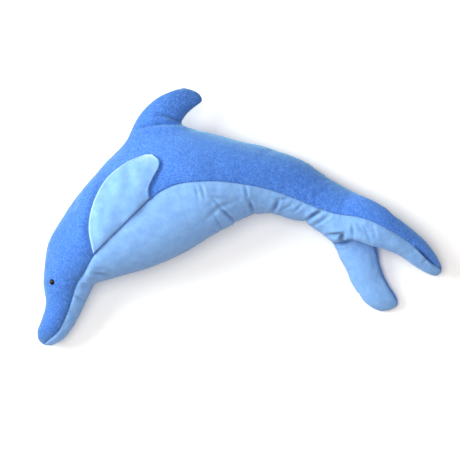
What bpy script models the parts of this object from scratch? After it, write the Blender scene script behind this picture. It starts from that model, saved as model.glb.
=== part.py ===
"""A stuffed cloth dolphin that lies on its right side, with its left side up.

Brushed fabric covers the back and the fin in two halves, smooth cotton covers the belly
and the undersides of the flukes, and the flippers are two layers of the same cotton.
The tables below are drawn in millimetres, seen from above, at the length DRAWN_LENGTH:
X runs from the snout to the flukes, Y towards the fin, and Z up from the table.
"""
import math

import bmesh
import bpy
import numpy as np
from mathutils import Matrix, Vector
from mathutils.bvhtree import BVHTree

MM = 0.001

# From the snout to the tip of the near fluke, and the same length in the tables
LENGTH = 444 * MM
DRAWN_LENGTH = 444
DRAWN = LENGTH / DRAWN_LENGTH
RAY_START = 2 * LENGTH

# Cloth and filling
FLEECE_THICKNESS = 1.3 * MM
COTTON_THICKNESS = 0.9 * MM
SEAM_GAP = 0.36 * MM
CLOTH_FOLD = 0.8
FILLING_FOLD = 0.4
CLOTH_ROOM = 0.28
FILLING_ROOM = 0.42
HOLLOW_SHARE = 1.8
FILLING_GAP = 0.6 * MM
TABLE_SNAP = 0.8 * MM

# Body sections from the snout to the root of the flukes: where the back line and the
# belly line lie in plan, how far across the side seam runs (0 back, 1 belly), and how
# high the top and how low the underside would reach before the table presses it flat
BODY_SECTIONS = (
    # back x, y, belly x, y, seam, top, underside
    (-222, -136, -208, -143, 0.50, 21, 9),
    (-223, -125, -197, -135, 0.70, 29, 5),
    (-219, -115, -187, -125, 0.74, 36, 3),
    (-213, -95, -173, -99, 0.68, 44, 2),
    (-217, -74, -161, -75, 0.68, 53, 1),
    (-215, -57, -149, -69, 0.66, 60, -1),
    (-215, -41, -132, -64, 0.58, 67, -3),
    (-211, -24, -110, -59, 0.50, 73, -4),
    (-187, 14, -71, -45, 0.48, 82, -6),
    (-157, 51, -40, -26, 0.46, 88, -7),
    (-123, 81, -21, -15, 0.48, 89, -7),
    (-91, 96, -8, -8, 0.54, 87, -7),
    (-60, 98, 1, -2, 0.58, 82, -6),
    (-19, 90, 12, 1, 0.60, 75, -5),
    (26, 79, 29, 5, 0.65, 67, -4),
    (67, 66, 54, -1, 0.68, 58, -3),
    (99, 43, 77, -9, 0.65, 52, -2),
    (123, 30, 101, -29, 0.46, 51, -1),
)
SNOUT_BULGE = 3
# Where the cage has a ring, counted in sections
BODY_RINGS = (0, 0.5, 1.2, 2, 3, 3.8, 4.4, 5.1, 6, 7, 7.7, 8.4, 9, 9.5, 10, 10.5, 11, 11.5, 12,
              12.7, 13.2, 13.7, 14.3, 14.9, 15.4, 15.75, 16.1, 16.5, 17)
# Gathers along the belly line: the ring that is drawn in, and how deep
BELLY_GATHERS = {4.4: 3.0, 11.5: 4.0, 13.2: 3.5, 14.3: 3.0, 15.75: 5.0, 16.5: 2.5}

# The near fluke, bent back in line with the body: back edge, belly edge, how far across
# the leading seam runs, top and underside
NEAR_FLUKE = (
    (135, 24, 122, -24, 0.46, 54, 26),
    (153, 16, 141, -32, 0.42, 55, 27),
    (171, 2, 160, -36, 0.42, 51, 22),
    (190, -12, 178, -44, 0.42, 42, 14),
    (206, -28, 193, -55, 0.42, 34, 9),
    (218, -44, 208, -63, 0.46, 26, 8),
)
NEAR_TIP = ((225, -57, 15), (217, -67, 11), 4)
# The far fluke, splayed on the table with its light underside up: leading edge, trailing
# edge, top, underside, and how far its section has rolled over from the body's
FAR_FLUKE = (
    (102, -31, 140, -7, 23, 0, 25),
    (108, -44, 152, -26, 22, -1, 58),
    (115, -58, 154, -44, 21, -2, 82),
    (124, -76, 157, -61, 20, -2, 90),
    (136, -92, 166, -78, 18, -2, 90),
    (148, -102, 174, -90, 14, -1, 90),
)
FAR_TIP = ((159, -106, 5), (175, -98, 5), 2)

# The dorsal fin, cut in one with the back halves: leading edge, trailing edge, thickness
FIN_LEVELS = (
    (-120, 101, -64, 105, 25),
    (-102, 127, -59, 114, 19),
    (-76, 142, -51, 121, 15),
)
FIN_TIP = ((-59, 147), (-38, 131), 6)
FIN_DROOP = 4
FIN_FIRST, FIN_LAST = 10, 12
FIN_ROOT_SHARE = 0.17
FIN_ROUNDING = 0.6

# The flipper that lies on the body: leading edge and trailing edge, from seam to tip
FLIPPER_ROWS = (
    (-161, -40, -99, 21),
    (-166, -12, -100, 32),
    (-161, 16, -95, 44),
    (-147, 42, -89, 55),
    (-125, 60, -89, 63),
    (-104, 69, -96, 69),
)
FLIPPER_LAYER = 1.3 * MM
FLIPPER_LIFT = 0.9 * MM
FLIPPER_PUFF = 2.2 * MM
PUFF_AT_ROOT = 0.15
FLIPPER_CELLS = (9, 4)
STEEPEST_BED = 0.5
FLIPPER_BED_MARGIN = 16 * MM
FLIPPER_BED_SLOPE = 26 * MM

# Eyes: a domed head on a shank that passes through the cloth into a washer
EYE_PLACE = (-206.5, -71)
EYE_DIAMETER = 6.6 * MM
EYE_HEIGHT = 2.6 * MM
SHANK_DIAMETER = 2.8 * MM
SHANK_END = 3 * MM
WASHER_DIAMETER = 9 * MM
WASHER_THICKNESS = 1.2 * MM
EYE_CLEARANCE = 0.3 * MM
POCKET_MARGIN = 1 * MM
HOLE_REACH = 3 * FLEECE_THICKNESS
DOME_STEPS = 4
ROUND_STEPS = 12

# Columns round a body ring: 0 is the back line, then come the side seam on top, the belly
# line and the seam underneath, and the last column before the back line again
RING_COLUMNS = 12
SEAM_COLUMN = RING_COLUMNS // 4
BELLY_COLUMN = RING_COLUMNS // 2
BACK_SHARES = (0, 0.36, 0.70)
BELLY_SHARES = (0, 0.34, 0.68)
GATHER_REACH = {4: 0.35, 5: 0.8, 6: 1.0, 7: 0.8, 8: 0.35}
CHORD_COLUMNS = 3
FOLD_STEPS = SEAM_COLUMN + (CHORD_COLUMNS + 1) // 2
LEFT, RIGHT, LIGHT = 0, 1, 2


def empty_scene():
    for old in list(bpy.data.objects):
        bpy.data.objects.remove(old, do_unlink=True)


def collection(name):
    made = bpy.data.collections.new(name)
    bpy.context.scene.collection.children.link(made)
    return made


def material(name, srgb, roughness):
    """A plain finish; the colour is given as 0 to 255 and stored as linear light."""
    made = bpy.data.materials.new(name)
    made.use_nodes = True
    shader = made.node_tree.nodes["Principled BSDF"]
    linear = [(c / 255) ** 2.2 for c in srgb]
    shader.inputs["Base Color"].default_value = (*linear, 1)
    shader.inputs["Roughness"].default_value = roughness
    shader.inputs["Metallic"].default_value = 0
    return made


def along(rows, where):
    """The row of a table at a place between its rows, on a smooth curve through them."""
    rows = np.array(rows, dtype=float)
    first = min(int(where), len(rows) - 2)
    t = where - first
    before = rows[first - 1] if first > 0 else 2 * rows[0] - rows[1]
    after = rows[first + 2] if first + 2 < len(rows) else 2 * rows[-1] - rows[-2]
    a, b, c, d = before, rows[first], rows[first + 1], after
    return b + 0.5 * t * (c - a + t * (2 * a - 5 * b + 4 * c - d + t * (3 * (b - c) + d - a)))


def swell(columns):
    """How much a cage ring is enlarged so that its subdivided ring has the true size."""
    return 8 / (6 + 2 * math.cos(2 * math.pi / columns))


def oval_point(left, right, top, low, angle, grow):
    """A point of an upright oval: angle 0 at the right point, a quarter turn at the top."""
    left, right = Vector(left), Vector(right)
    across = 0.5 * (1 + grow * math.cos(angle))
    middle = 0.5 * (top + low)
    spot = left.lerp(right, across)
    return Vector((spot.x, spot.y, middle + 0.5 * (top - low) * grow * math.sin(angle)))


def seam_angle(share):
    return math.acos(1 - 2 * share)


def ring_angles(seam, back_shares=BACK_SHARES):
    """Angles of the columns over the top, from the back line to the belly line."""
    turn = seam_angle(seam)
    over_back = [turn * share for share in back_shares]
    over_belly = [turn + (math.pi - turn) * share for share in BELLY_SHARES]
    return over_back + over_belly + [math.pi]


def fin_weight(where):
    """1 under the fin, fading to 0 a section before and after it."""
    outside = max(FIN_FIRST - where, where - FIN_LAST, 0)
    return max(0, 1 - outside)


def body_ring(where):
    back_x, back_y, belly_x, belly_y, seam, top, low = along(BODY_SECTIONS, where)
    low_share = BACK_SHARES[1] + (FIN_ROOT_SHARE - BACK_SHARES[1]) * fin_weight(where)
    over = ring_angles(seam, (0, low_share, BACK_SHARES[2]))
    angles = over + [2 * math.pi - angle for angle in reversed(over[1:-1])]
    back, belly = Vector((back_x, back_y)), Vector((belly_x, belly_y))
    points = [oval_point(belly, back, top, low, angle, swell(RING_COLUMNS)) for angle in angles]
    inward = (back - belly).normalized().to_3d()
    gather = BELLY_GATHERS.get(where, 0)
    for column, reach in GATHER_REACH.items():
        points[column] += inward * gather * reach
    return points


def add_ring(cage, points):
    return [cage.verts.new(point * DRAWN) for point in points]


def add_band(cage, ring, following, panels):
    """A closed band of faces between two rings, with the panel of each face."""
    count = len(ring)
    for column in range(count):
        after = (column + 1) % count
        corners = (ring[column], ring[after], following[after], following[column])
        distinct = list(dict.fromkeys(corners))
        if len(distinct) > 2:
            cage.faces.new(distinct).material_index = panels[column]


def folded_ring(cage, ring, tip, start, stop, opposite):
    """A ring that closes a tip: the columns on its two sides share points on one line.

    The line runs between two ends and bulges outwards, away from the ring before it.
    """
    count = len(ring)
    steps = (stop - start) % count
    first, last, bulge = Vector(tip[0]), Vector(tip[1]), tip[2]
    before = sum((vert.co for vert in ring), Vector()) / count / DRAWN
    outwards = ((first + last) / 2 - before).normalized() * bulge
    line = [first.lerp(last, step / steps) + outwards * math.sin(math.pi * step / steps)
            for step in range(steps + 1)]
    shared = add_ring(cage, line)
    folded = [None] * count
    for step in range(steps + 1):
        folded[(start + step) % count] = shared[step]
        folded[(opposite - step) % count] = shared[step]
    return folded


def add_body(cage):
    panels = [LEFT] * SEAM_COLUMN + [LIGHT] * BELLY_COLUMN + [RIGHT] * SEAM_COLUMN
    rings = {where: add_ring(cage, body_ring(where)) for where in BODY_RINGS[1:]}
    tip = along(BODY_SECTIONS, 0)
    middle = 0.5 * (tip[5] + tip[6])
    line = ((tip[0], tip[1], middle), (tip[2], tip[3], middle), SNOUT_BULGE)
    rings[0] = folded_ring(cage, rings[BODY_RINGS[1]], line, 0, BELLY_COLUMN, 0)
    for where, following in zip(BODY_RINGS, BODY_RINGS[1:]):
        add_band(cage, rings[where], rings[following], panels)
    return rings


def fluke_ring(row, angles, roll=0):
    right_x, right_y, left_x, left_y, top, low = row
    grow = swell(len(angles))
    return [oval_point((left_x, left_y), (right_x, right_y), top, low, angle - roll, grow)
            for angle in angles]


def add_near_fluke(cage, root):
    """The upper fluke: over the top as the body, and back under it through the chord."""
    panels = [LEFT] * 3 + [LIGHT] * 5 + [LEFT] * 2
    ring = root
    for row in NEAR_FLUKE:
        under = [math.pi * (1 + (step + 1) / (CHORD_COLUMNS + 1)) for step in range(CHORD_COLUMNS)]
        angles = ring_angles(row[4]) + under
        following = add_ring(cage, fluke_ring(row[:4] + row[5:], angles))
        add_band(cage, ring, following, panels)
        ring = following
    tip = folded_ring(cage, ring, NEAR_TIP, SEAM_COLUMN, SEAM_COLUMN + FOLD_STEPS, SEAM_COLUMN)
    add_band(cage, ring, tip, panels)


def add_far_fluke(cage, root):
    """The lower fluke: round the underside as the body, and back through the chord."""
    panels = [LIGHT] * 3 + [RIGHT] * 5 + [LIGHT] * 2
    under = [math.pi * (1 + step / BELLY_COLUMN) for step in range(BELLY_COLUMN + 1)]
    over = [math.pi * (step + 1) / (CHORD_COLUMNS + 1) for step in range(CHORD_COLUMNS)]
    ring = root
    for row in FAR_FLUKE:
        leading, trailing, heights = row[:2], row[2:4], row[4:6]
        points = fluke_ring(trailing + leading + heights, under + over, math.radians(row[6]))
        following = add_ring(cage, points)
        add_band(cage, ring, following, panels)
        ring = following
    tip = folded_ring(cage, ring, FAR_TIP, SEAM_COLUMN, SEAM_COLUMN + FOLD_STEPS, SEAM_COLUMN)
    add_band(cage, ring, tip, panels)


def add_flukes(cage, last):
    """The body ring parts along a chord from the back line to the belly line."""
    back, belly = last[0], last[BELLY_COLUMN]
    shares = [(step + 1) / (CHORD_COLUMNS + 1) for step in range(CHORD_COLUMNS)]
    chord = [cage.verts.new(back.co.lerp(belly.co, share)) for share in shares]
    add_near_fluke(cage, last[:BELLY_COLUMN + 1] + chord[::-1])
    add_far_fluke(cage, last[BELLY_COLUMN:] + [back] + chord)


def fin_ring(row, base, middle):
    """A lens between the leading and the trailing edge, in the order of the base loop."""
    leading, trailing = Vector(row[:2]), Vector(row[2:4])
    count = len(base) // 2 - 1
    points = []
    for step in range(count + 2):
        share = step / (count + 1)
        spot = leading.lerp(trailing, share)
        bulge = 0.5 * row[4] * math.sin(math.pi * share) ** FIN_ROUNDING
        points.append((spot.x, spot.y, middle + bulge))
    lower = [(x, y, 2 * middle - z) for x, y, z in reversed(points[1:-1])]
    return [Vector(point) for point in points + lower]


def add_fin(cage, rings):
    """The strip on both sides of the back line is opened and drawn out into the fin."""
    places = [where for where in BODY_RINGS if FIN_FIRST <= where <= FIN_LAST]
    first, last = rings[places[0]], rings[places[-1]]
    upper = [rings[where][1] for where in places]
    lower = [rings[where][-1] for where in places]
    inner = [rings[where][0] for where in places]
    strip = set(upper + lower + inner)
    opened = [face for face in cage.faces if all(vert in strip for vert in face.verts)]
    height = first[0].co.z / DRAWN
    bmesh.ops.delete(cage, geom=opened, context="FACES")
    base = [first[0]] + upper + [last[0]] + lower[::-1]
    half = len(upper)
    panels = [LEFT] * (half + 1) + [RIGHT] * (half + 1)
    ring = base
    for level, row in enumerate(FIN_LEVELS):
        drop = FIN_DROOP * (level + 1) / len(FIN_LEVELS)
        following = add_ring(cage, fin_ring(row, base, height - drop))
        add_band(cage, ring, following, panels)
        ring = following
    ends = [(*point, height - FIN_DROOP) for point in FIN_TIP[:2]]
    tip = folded_ring(cage, ring, (*ends, FIN_TIP[2]), 0, half + 1, 0)
    add_band(cage, ring, tip, panels)


def flipper_bed(x, y):
    """How high the flipper under the chest holds the body off the table at a place."""
    rows = np.array(FLIPPER_ROWS[:-1]) * DRAWN
    middle = 0.5 * (rows[:, :2] + rows[:, 2:])
    widths = 0.5 * np.hypot(*(rows[:, :2] - rows[:, 2:]).T)
    away = np.min(np.hypot(middle[:, 0] - x, middle[:, 1] - y) - widths) - FLIPPER_BED_MARGIN
    fade = min(max(1 - away / FLIPPER_BED_SLOPE, 0), 1)
    stack = 2 * FLIPPER_LAYER + SEAM_GAP + FLIPPER_LIFT
    return stack * fade * fade * (3 - 2 * fade)


def press_on_table(form):
    """Cloth that would reach below the table, or the flipper under it, lies flat there."""
    for vert in form.verts:
        bed = flipper_bed(vert.co.x, vert.co.y)
        if vert.co.z < bed + TABLE_SNAP:
            vert.co.z = bed


def body_form():
    """The whole stuffed body as one closed surface, with a panel number on each face.

    The coarse cage comes with it: its points are the first ones of the smooth surface.
    """
    cage = bmesh.new()
    rings = add_body(cage)
    add_fin(cage, rings)
    add_flukes(cage, rings[BODY_RINGS[-1]])
    bmesh.ops.recalc_face_normals(cage, faces=cage.faces)
    mesh = bpy.data.meshes.new("body cage")
    for _ in range(3):
        mesh.materials.append(None)
    cage.to_mesh(mesh)
    guide = bpy.data.objects.new("body cage", mesh)
    bpy.context.scene.collection.objects.link(guide)
    rounding = guide.modifiers.new("rounding", "SUBSURF")
    rounding.levels = rounding.render_levels = 1
    smooth = guide.evaluated_get(bpy.context.evaluated_depsgraph_get()).to_mesh()
    form = bmesh.new()
    form.from_mesh(smooth)
    bpy.data.objects.remove(guide, do_unlink=True)
    press_on_table(form)
    form.normal_update()
    form.verts.ensure_lookup_table()
    cage.verts.index_update()
    return form, cage


def wall_directions(form):
    """For each point its normal, how nearly its faces share it, and the room inwards.

    A wall is made longer at folds by the second value, so that it keeps its thickness.
    """
    tree = BVHTree.FromBMesh(form)
    walls = []
    for vert in form.verts:
        spread = min(vert.normal.dot(face.normal) for face in vert.link_faces)
        start = vert.co - vert.normal * SEAM_GAP
        room = tree.ray_cast(start, -vert.normal)[3] or LENGTH
        walls.append((vert.normal, spread, room))
    return walls


def mesh_object(name, bm, finish, home):
    for face in bm.faces:
        face.material_index = 0
    mesh = bpy.data.meshes.new(name)
    bm.to_mesh(mesh)
    bm.free()
    mesh.materials.clear()
    mesh.materials.append(finish)
    mesh.shade_smooth()
    made = bpy.data.objects.new(name, mesh)
    home.objects.link(made)
    return made


def cloth_panel(name, form, walls, panel, thickness, finish, home):
    """One cut of cloth: the outer skin of its faces, eased back at the seams, and a wall."""
    sheet = form.copy()
    wall = sheet.verts.layers.float_vector.new("wall")
    for vert, (normal, spread, room) in zip(sheet.verts, walls):
        vert[wall] = normal * min(thickness / max(spread, CLOTH_FOLD), CLOTH_ROOM * room)
    others = [face for face in sheet.faces if face.material_index != panel]
    bmesh.ops.delete(sheet, geom=others, context="FACES")
    rim = bmesh.ops.inset_region(sheet, faces=sheet.faces[:], thickness=SEAM_GAP / 2,
                                 use_boundary=True, use_even_offset=True)["faces"]
    bmesh.ops.delete(sheet, geom=rim, context="FACES")
    skin = bmesh.ops.extrude_face_region(sheet, geom=sheet.faces[:], use_keep_orig=True)["geom"]
    for vert in skin:
        if isinstance(vert, bmesh.types.BMVert):
            vert.co -= vert[wall]
    bmesh.ops.recalc_face_normals(sheet, faces=sheet.faces)
    return mesh_object(name, sheet, finish, home)


def stuffing_body(form, walls, cage, finish, home):
    """The filling, a little inside the cloth all round, on the points of the cage.

    Where the form is hollow the filling keeps back, because its faces are the longer ones.
    """
    depth = max(FLEECE_THICKNESS, COTTON_THICKNESS) + FILLING_GAP
    places = []
    for vert, outer, (normal, spread, room) in zip(cage.verts, form.verts, walls):
        around = [form.verts[edge.other_vert(vert).index].co for edge in vert.link_edges]
        hollow = max(0, *((spot - outer.co).dot(normal) for spot in around))
        inwards = depth / max(spread, FILLING_FOLD) + hollow * HOLLOW_SHARE
        places.append(outer.co - normal * min(inwards, FILLING_ROOM * room))
    for vert, place in zip(cage.verts, places):
        vert.co = place
    return mesh_object("stuffing", cage, finish, home)


def flipper_layer(name, underside, finish, home, puff=0):
    """One layer of a flipper: a grid laid on what carries it, with a cloth's thickness."""
    sheet = bmesh.new()
    columns, rows = FLIPPER_CELLS
    bmesh.ops.create_grid(sheet, x_segments=columns, y_segments=rows, size=0.5)
    for vert in sheet.verts:
        reach, across = vert.co.x + 0.5, vert.co.y + 0.5
        row = along(FLIPPER_ROWS, reach * (len(FLIPPER_ROWS) - 1))
        spot = Vector(row[:2]).lerp(Vector(row[2:]), across) * DRAWN
        rise = puff * math.sin(math.pi * across) * math.sin(math.pi * min(reach + PUFF_AT_ROOT, 1))
        vert.co = (spot.x, spot.y, underside(spot.x, spot.y) + rise)
    skin = bmesh.ops.extrude_face_region(sheet, geom=sheet.faces[:], use_keep_orig=True)["geom"]
    bmesh.ops.translate(sheet, vec=(0, 0, FLIPPER_LAYER),
                        verts=[v for v in skin if isinstance(v, bmesh.types.BMVert)])
    bmesh.ops.recalc_face_normals(sheet, faces=sheet.faces)
    return mesh_object(name, sheet, finish, home)


def flippers(tree, finish, home):
    """The left flipper lies on the body, the right one is folded flat beneath it."""
    def on_body(x, y):
        spot, normal, _, _ = tree.ray_cast(Vector((x, y, RAY_START)), Vector((0, 0, -1)))
        return spot.z + FLIPPER_LIFT / max(normal.z, STEEPEST_BED)

    def on_table(x, y):
        return 0

    step = FLIPPER_LAYER + SEAM_GAP
    flipper_layer("flipper_left_inner", on_body, finish, home)
    flipper_layer("flipper_left_outer", lambda x, y: on_body(x, y) + step, finish, home,
                  FLIPPER_PUFF)
    flipper_layer("flipper_right_outer", on_table, finish, home)
    flipper_layer("flipper_right_inner", lambda x, y: on_table(x, y) + step, finish, home)


def turned(name, profile, finish, home):
    """A round solid from a profile of radius and height, spun about its own Z axis."""
    bm = bmesh.new()
    points = [bm.verts.new((radius, 0, height)) for radius, height in profile]
    closed = profile[0][0] > 0
    edges = [bm.edges.new(pair) for pair in zip(points, points[1:])]
    if closed:
        edges.append(bm.edges.new((points[-1], points[0])))
    bmesh.ops.spin(bm, geom=points + edges, cent=(0, 0, 0), axis=(0, 0, 1),
                   angle=2 * math.pi, steps=ROUND_STEPS, use_merge=True)
    bmesh.ops.remove_doubles(bm, verts=bm.verts, dist=0.00001)
    bmesh.ops.recalc_face_normals(bm, faces=bm.faces)
    return mesh_object(name, bm, finish, home)


def washer_seat(tree, spot, normal):
    """How far below the eye's spot the cloth's inside is at the rim of its washer."""
    tangent = normal.orthogonal().normalized() * (WASHER_DIAMETER / 2)
    deepest = 0
    for step in range(ROUND_STEPS):
        rim = Matrix.Rotation(2 * math.pi * step / ROUND_STEPS, 3, normal) @ tangent
        found = tree.ray_cast(spot + rim + normal * WASHER_DIAMETER, -normal)[0]
        deepest = max(deepest, (spot - found).dot(normal))
    return deepest + FLEECE_THICKNESS + EYE_CLEARANCE


def shank_length(seat):
    return seat + WASHER_THICKNESS + SHANK_END


def eye_profile(seat):
    """From the top of the dome, round its rim and down the shank to its end."""
    radius = EYE_DIAMETER / 2
    dome = [(radius * math.sin(turn), EYE_HEIGHT * math.cos(turn) + EYE_CLEARANCE)
            for turn in (math.pi / 2 * step / DOME_STEPS for step in range(DOME_STEPS + 1))]
    shank = SHANK_DIAMETER / 2
    end = -shank_length(seat)
    return dome + [(shank, EYE_CLEARANCE), (shank, end), (0, end)]


def washer_profile(seat):
    bore = SHANK_DIAMETER / 2 + EYE_CLEARANCE
    rim = WASHER_DIAMETER / 2
    low = -seat - WASHER_THICKNESS
    return [(bore, -seat), (rim, -seat), (rim, low), (bore, low)]


def cutter(name, radius, low, top, home):
    bm = bmesh.new()
    bmesh.ops.create_cone(bm, cap_ends=True, segments=ROUND_STEPS, radius1=radius,
                          radius2=radius, depth=top - low,
                          matrix=Matrix.Translation((0, 0, (top + low) / 2)))
    made = mesh_object(name, bm, None, home)
    made.hide_render = True
    made.display_type = "WIRE"
    return made


def cut(body, tool):
    hole = body.modifiers.new("hole", "BOOLEAN")
    hole.operation = "DIFFERENCE"
    hole.solver = "EXACT"
    hole.object = tool


def place(made, spot, normal):
    made.location = spot
    made.rotation_mode = "QUATERNION"
    made.rotation_quaternion = normal.to_track_quat("Z", "X")


def add_eye(side, tree, look, panel, stuffing, finishes, home, cutters):
    """An eye, its washer inside the cloth, the hole for its shank and the filling's room."""
    start = (Vector(EYE_PLACE) * DRAWN).to_3d() + Vector((0, 0, RAY_START * look))
    spot, normal, _, _ = tree.ray_cast(start, Vector((0, 0, -look)))
    seat = washer_seat(tree, spot, normal)
    eye = turned("eye_" + side, eye_profile(seat), finishes[0], home)
    washer = turned("eye_washer_" + side, washer_profile(seat), finishes[1], home)
    hole = cutter("shank_hole_" + side, SHANK_DIAMETER / 2 + EYE_CLEARANCE,
                  -HOLE_REACH, HOLE_REACH, cutters)
    pocket = cutter("eye_pocket_" + side, WASHER_DIAMETER / 2 + POCKET_MARGIN,
                    -shank_length(seat) - POCKET_MARGIN, HOLE_REACH, cutters)
    for made in (eye, washer, hole, pocket):
        place(made, spot, normal)
    cut(panel, hole)
    cut(stuffing, pocket)


def stand_on_origin(pieces, helpers):
    """One empty carries everything, so that the box's lower centre is the origin."""
    bpy.context.view_layer.update()
    corners = [piece.matrix_world @ Vector(corner) for piece in pieces for corner in piece.bound_box]
    low = Vector([min(corner[axis] for corner in corners) for axis in range(3)])
    high = Vector([max(corner[axis] for corner in corners) for axis in range(3)])
    carrier = bpy.data.objects.new("dolphin_origin", None)
    bpy.context.scene.collection.objects.link(carrier)
    carrier.location = (-(low.x + high.x) / 2, -(low.y + high.y) / 2, -low.z)
    for piece in list(pieces) + list(helpers):
        piece.parent = carrier


def main():
    empty_scene()
    home = collection("plush_dolphin")
    cutters = collection("cutters")
    fleece = material("fleece_blue", (88, 141, 235), 0.95)
    cotton = material("cotton_light_blue", (140, 185, 246), 0.85)
    filling = material("fibre_filling", (238, 238, 234), 0.95)
    gloss_black = material("gloss_black", (24, 20, 20), 0.15)
    washer_plastic = material("washer_plastic", (225, 225, 222), 0.5)
    form, cage = body_form()
    walls = wall_directions(form)
    left = cloth_panel("back_panel_left", form, walls, LEFT, FLEECE_THICKNESS, fleece, home)
    right = cloth_panel("back_panel_right", form, walls, RIGHT, FLEECE_THICKNESS, fleece, home)
    cloth_panel("belly_panel", form, walls, LIGHT, COTTON_THICKNESS, cotton, home)
    tree = BVHTree.FromBMesh(form)
    stuffing = stuffing_body(form, walls, cage, filling, home)
    flippers(tree, cotton, home)
    finishes = (gloss_black, washer_plastic)
    add_eye("left", tree, 1, left, stuffing, finishes, home, cutters)
    add_eye("right", tree, -1, right, stuffing, finishes, home, cutters)
    stand_on_origin(home.objects, cutters.objects)


main()
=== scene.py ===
"""How the stuffed cloth dolphin looks from close by.

Brushed blue cloth on the back and the fin, smooth light cotton on the belly, the flukes and
the flippers, gathers along the belly line and small glossy eyes, seen from straight above.
The tables are drawn in millimetres: X runs from the snout to the flukes, Y to the fin, Z up.
"""
import math

import bmesh
import bpy
import numpy as np
from mathutils import Matrix, Vector, noise
from mathutils.bvhtree import BVHTree
from mathutils.kdtree import KDTree

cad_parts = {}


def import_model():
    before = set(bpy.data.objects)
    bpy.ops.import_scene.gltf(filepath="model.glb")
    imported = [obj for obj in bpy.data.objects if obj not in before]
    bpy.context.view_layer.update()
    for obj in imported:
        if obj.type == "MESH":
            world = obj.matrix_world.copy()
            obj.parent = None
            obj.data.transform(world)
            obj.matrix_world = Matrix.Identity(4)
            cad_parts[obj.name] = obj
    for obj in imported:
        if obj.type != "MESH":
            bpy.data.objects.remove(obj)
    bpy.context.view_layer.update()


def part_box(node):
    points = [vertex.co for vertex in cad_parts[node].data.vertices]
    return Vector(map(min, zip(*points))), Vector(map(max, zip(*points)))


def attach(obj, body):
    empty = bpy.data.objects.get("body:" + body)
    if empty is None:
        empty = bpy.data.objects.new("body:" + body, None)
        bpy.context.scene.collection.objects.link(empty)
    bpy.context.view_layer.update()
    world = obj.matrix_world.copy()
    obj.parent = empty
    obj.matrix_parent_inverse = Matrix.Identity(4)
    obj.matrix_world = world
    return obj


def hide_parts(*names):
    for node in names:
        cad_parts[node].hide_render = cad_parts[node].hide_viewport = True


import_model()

MM = 0.001
BODY = "root"

# Body sections from the snout to the root of the flukes: back line and belly line in plan,
# how far across the side seam runs, top, and underside before the floor presses it flat
BODY_SECTIONS = (
    (-222, -134, -208, -142, 0.50, 21, 9),
    (-224, -125, -197, -135, 0.70, 29, 5),
    (-220, -115, -187, -125, 0.74, 36, 3),
    (-213, -95, -173, -99, 0.68, 44, 2),
    (-218, -74, -161, -75, 0.68, 53, 1),
    (-216, -57, -149, -69, 0.66, 60, -1),
    (-215, -41, -132, -64, 0.58, 67, -3),
    (-211, -24, -110, -59, 0.49, 73, -4),
    (-187, 14, -71, -45, 0.455, 82, -6),
    (-157, 51, -39, -27, 0.438, 88, -7),
    (-123, 81, -20, -16, 0.465, 89, -7),
    (-91, 96, -7, -9, 0.54, 87, -7),
    (-60, 98, 2, -3, 0.58, 82, -6),
    (-19, 90, 12, 1, 0.60, 75, -5),
    (26, 79, 29, 5, 0.65, 67, -4),
    (67, 66, 54, -1, 0.68, 58, -3),
    (99, 43, 77, -9, 0.65, 52, -2),
    (123, 30, 101, -29, 0.46, 51, -1),
)
SNOUT_BULGE = 6
# Where the cage has a ring, counted in sections, and how far the belly is drawn in at some
BODY_RINGS = (0.5, 1.2, 2, 3, 3.8, 4.4, 5.1, 6, 7, 7.7, 8.4, 9, 9.5, 10, 10.5, 11, 11.5, 12, 12.7,
              13.2, 13.7, 14.3, 14.9, 15.4, 15.75, 16.1, 16.5, 17)
BELLY_GATHERS = {4.4: 3.0, 11.5: 0.8, 13.2: 2.0, 14.3: 3.0, 15.75: 5.0, 16.5: 2.5}

# The near fluke: back edge, belly edge, leading seam, top and underside
NEAR_FLUKE = (
    (135, 24, 122, -24, 0.46, 54, 26),
    (153, 16, 141, -32, 0.42, 55, 27),
    (171, 2, 160, -36, 0.42, 51, 22),
    (190, -12, 178, -44, 0.42, 42, 14),
    (206, -28, 193, -55, 0.42, 34, 9),
    (219, -44, 207, -63, 0.46, 26, 8),
)
# A tip is a line where the cloth folds: its two ends and how far it bulges between them
NEAR_TIP = ((225, -57, 15), (216, -66, 11), 6)
# The far fluke: leading edge, trailing edge, top, underside and how far it has rolled over
FAR_FLUKE = (
    (102, -31, 140, -7, 23, 0, 25),
    (108, -44, 152, -26, 22, -1, 56),
    (115, -58, 154, -44, 21, -2, 62),
    (124, -76, 158, -61, 20, -2, 62),
    (136, -92, 167, -77, 18, -2, 60),
    (147, -101, 175, -90, 14, -1, 58),
)
FAR_TIP = ((156, -104, 5), (174, -98, 5), 5)

# The fin on the back: leading edge, trailing edge and thickness
FIN_LEVELS = (
    (-121, 102, -62, 104, 25),
    (-103, 127, -57, 113, 19),
    (-77, 141, -48, 121, 15),
)
FIN_TIP = ((-58, 143.5), (-39, 129), 11)
FIN_DROOP = 4
# The sections that it grows from, how far its root spreads over the back, and its roundness
FIN_FIRST, FIN_LAST = 10, 12
FIN_ROOT_SHARE = 0.17
FIN_ROUNDING = 0.6

# The flippers: leading edge and trailing edge, from the seam to the tip
FLIPPER_ROWS = (
    (-161, -40, -99, 21),
    (-166, -12, -100, 32),
    (-161, 16, -95, 44),
    (-147, 42, -89, 55),
    (-125, 60, -89, 63),
    (-104, 69, -96, 69),
)
# How finely a flipper is worked here, and in the solids
FLIPPER_CELLS = (84, 44)
SOLID_FLIPPER_CELLS = (9, 4)
# The thickness of its cloth, the gap between its layers, how high it lies on the body, how
# steep the body counts there at most, and its length
FLIPPER_LAYER = 1.1
FLIPPER_GAP = 0.4
FLIPPER_LIFT = 0.9
FLIPPER_STEEPEST = 0.5
FLIPPER_LENGTH = 105
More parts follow.
